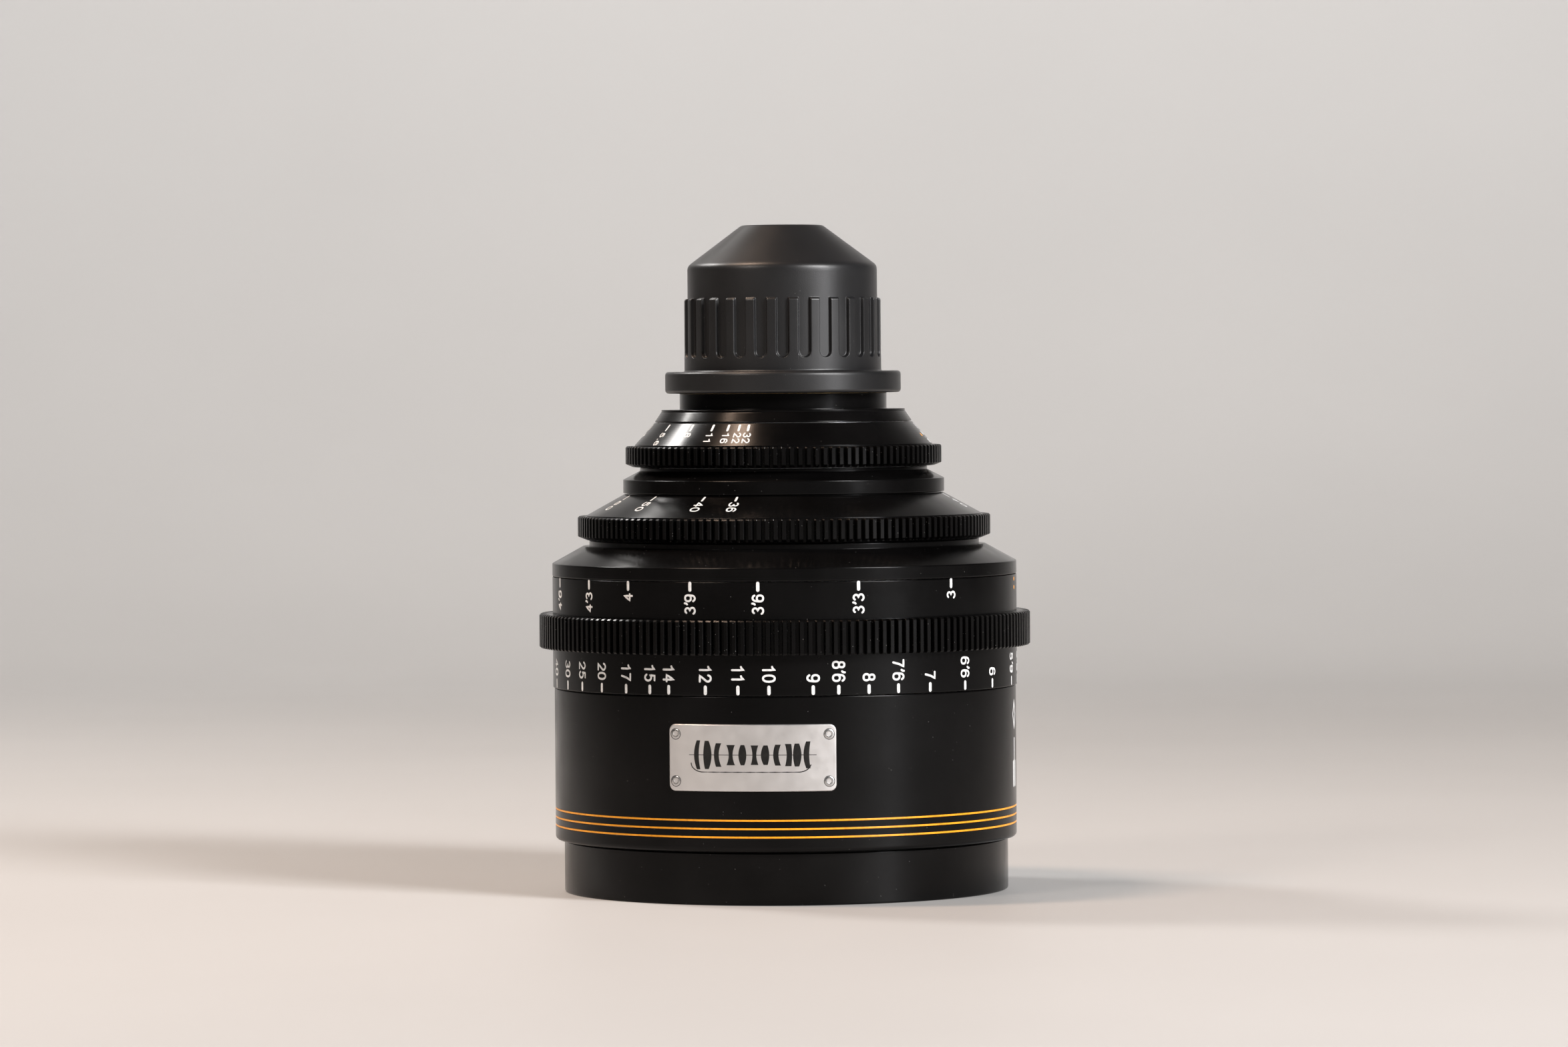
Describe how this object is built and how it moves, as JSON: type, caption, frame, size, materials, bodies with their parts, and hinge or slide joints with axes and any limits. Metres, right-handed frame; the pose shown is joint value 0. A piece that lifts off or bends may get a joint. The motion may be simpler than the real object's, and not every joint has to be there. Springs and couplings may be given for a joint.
{
  "type": "cinema zoom lens",
  "caption": "Wide zoom lens for a cinema camera, with geared focus, zoom and iris rings, standing on its short front hood ring under a ribbed rear cap.",
  "frame": {"origin": "on the optical axis, in the plane of the front rim that the lens stands on", "axes": "+Z along the optical axis towards the camera mount; -Y towards the nameplate side; +X towards the index marks"},
  "size_m": [0.1504, 0.1504, 0.2034],
  "materials": {
    "black_anodised": "black anodised, semi-gloss",
    "plate_aluminium": "bead blasted, clear anodised",
    "cap_plastic": "moulded, fine satin grain",
    "lens_glass": "polished and coated",
    "inner_aluminium": "black anodised, matt",
    "bearing_brass": "turned",
    "blackened_steel": "blackened sheet",
    "bright_steel": "turned and brushed"
  },
  "bodies": {
    "lens_barrel": {"front_ring": "black_anodised", "front_barrel": "black_anodised", "nameplate": "plate_aluminium", "nameplate_screws": "bright_steel", "main_tube": "inner_aluminium", "shoulder_housing": "black_anodised", "guide_tube": "inner_aluminium", "fixed_cell": "inner_aluminium", "fixed_lens": "lens_glass", "fixed_cell_screws": "bright_steel", "zoom_index_collar": "black_anodised", "rear_tube": "inner_aluminium", "relay_front_cell": "inner_aluminium", "relay_front_lens": "lens_glass", "iris_base_plate": "bearing_brass", "iris_retainer": "inner_aluminium", "iris_index_cone": "black_anodised", "mount_neck": "black_anodised", "mount_shim": "bearing_brass", "camera_mount": "bright_steel", "mount_screws": "bright_steel", "relay_rear_cell": "inner_aluminium", "relay_middle_lens": "lens_glass", "relay_rear_lens": "lens_glass", "relay_retainer": "inner_aluminium"},
    "focus": {"focus_ring": "black_anodised", "focus_cam": "bearing_brass"},
    "front_cell": {"focus_cell": "inner_aluminium", "focus_followers": "bright_steel", "front_lens": "lens_glass", "front_retainer": "inner_aluminium", "second_lens": "lens_glass", "second_retainer": "inner_aluminium"},
    "zoom": {"zoom_ring": "black_anodised", "zoom_drive_pin": "bright_steel", "zoom_cam_sleeve": "bearing_brass"},
    "carriage": {"zoom_carriage": "inner_aluminium", "carriage_followers": "bright_steel", "carriage_retainers": "inner_aluminium", "zoom_front_lens": "lens_glass", "zoom_rear_lens": "lens_glass"},
    "iris": {"iris_ring": "black_anodised", "iris_drive_pin": "bright_steel", "iris_actuator": "bearing_brass"},
    "cap": {"rear_cap": "cap_plastic"},
    "blade_1": {"iris_blade_1": "blackened_steel"},
    "blade_2": {"iris_blade_2": "blackened_steel"},
    "blade_3": {"iris_blade_3": "blackened_steel"},
    "blade_4": {"iris_blade_4": "blackened_steel"},
    "blade_5": {"iris_blade_5": "blackened_steel"},
    "blade_6": {"iris_blade_6": "blackened_steel"}
  },
  "joints": [
    {"name": "focus_turn", "type": "hinge", "parent": "lens_barrel", "child": "focus", "pos_m": [0, 0, 0.08], "axis": [0, 0, 1], "range_deg": [-150, 190]},
    {"name": "focus_travel", "type": "slide", "parent": "lens_barrel", "child": "front_cell", "axis": [0, 0, 1], "range_m": [-0.00529, 0.0067]},
    {"name": "zoom_turn", "type": "hinge", "parent": "lens_barrel", "child": "zoom", "pos_m": [0, 0, 0.112], "axis": [0, 0, 1], "range_deg": [-72, 43]},
    {"name": "zoom_travel", "type": "slide", "parent": "lens_barrel", "child": "carriage", "axis": [0, 0, 1], "range_m": [-0.00823, 0.01378]},
    {"name": "iris_turn", "type": "hinge", "parent": "lens_barrel", "child": "iris", "pos_m": [0, 0, 0.1365], "axis": [0, 0, 1], "range_deg": [-75, 0]},
    {"name": "rear_cap_lift", "type": "slide", "parent": "lens_barrel", "child": "cap", "axis": [0, 0, 1], "range_m": [0, 0.06]},
    {"name": "blade_1_turn", "type": "hinge", "parent": "lens_barrel", "child": "blade_1", "pos_m": [0.0295, 0, 0.131], "axis": [0, 0, 1], "range_deg": [-28.01, 0]},
    {"name": "blade_2_turn", "type": "hinge", "parent": "lens_barrel", "child": "blade_2", "pos_m": [0.01475, 0.02555, 0.131], "axis": [0, 0, 1], "range_deg": [-28.01, 0]},
    {"name": "blade_3_turn", "type": "hinge", "parent": "lens_barrel", "child": "blade_3", "pos_m": [-0.01475, 0.02555, 0.131], "axis": [0, 0, 1], "range_deg": [-28.01, 0]},
    {"name": "blade_4_turn", "type": "hinge", "parent": "lens_barrel", "child": "blade_4", "pos_m": [-0.0295, 0, 0.131], "axis": [0, 0, 1], "range_deg": [-28.01, 0]},
    {"name": "blade_5_turn", "type": "hinge", "parent": "lens_barrel", "child": "blade_5", "pos_m": [-0.01475, -0.02555, 0.131], "axis": [0, 0, 1], "range_deg": [-28.01, 0]},
    {"name": "blade_6_turn", "type": "hinge", "parent": "lens_barrel", "child": "blade_6", "pos_m": [0.01475, -0.02555, 0.131], "axis": [0, 0, 1], "range_deg": [-28.01, 0]}
  ],
  "couplings": [
    {"joint": "focus_travel", "follows": "focus_turn", "m_per_rad": 0.0020213},
    {"joint": "zoom_travel", "follows": "zoom_turn", "m_per_rad": -0.010961},
    {"joint": "blade_1_turn", "follows": "iris_turn", "ratio": 0.37333},
    {"joint": "blade_2_turn", "follows": "iris_turn", "ratio": 0.37333},
    {"joint": "blade_3_turn", "follows": "iris_turn", "ratio": 0.37333},
    {"joint": "blade_4_turn", "follows": "iris_turn", "ratio": 0.37333},
    {"joint": "blade_5_turn", "follows": "iris_turn", "ratio": 0.37333},
    {"joint": "blade_6_turn", "follows": "iris_turn", "ratio": 0.37333}
  ]
}
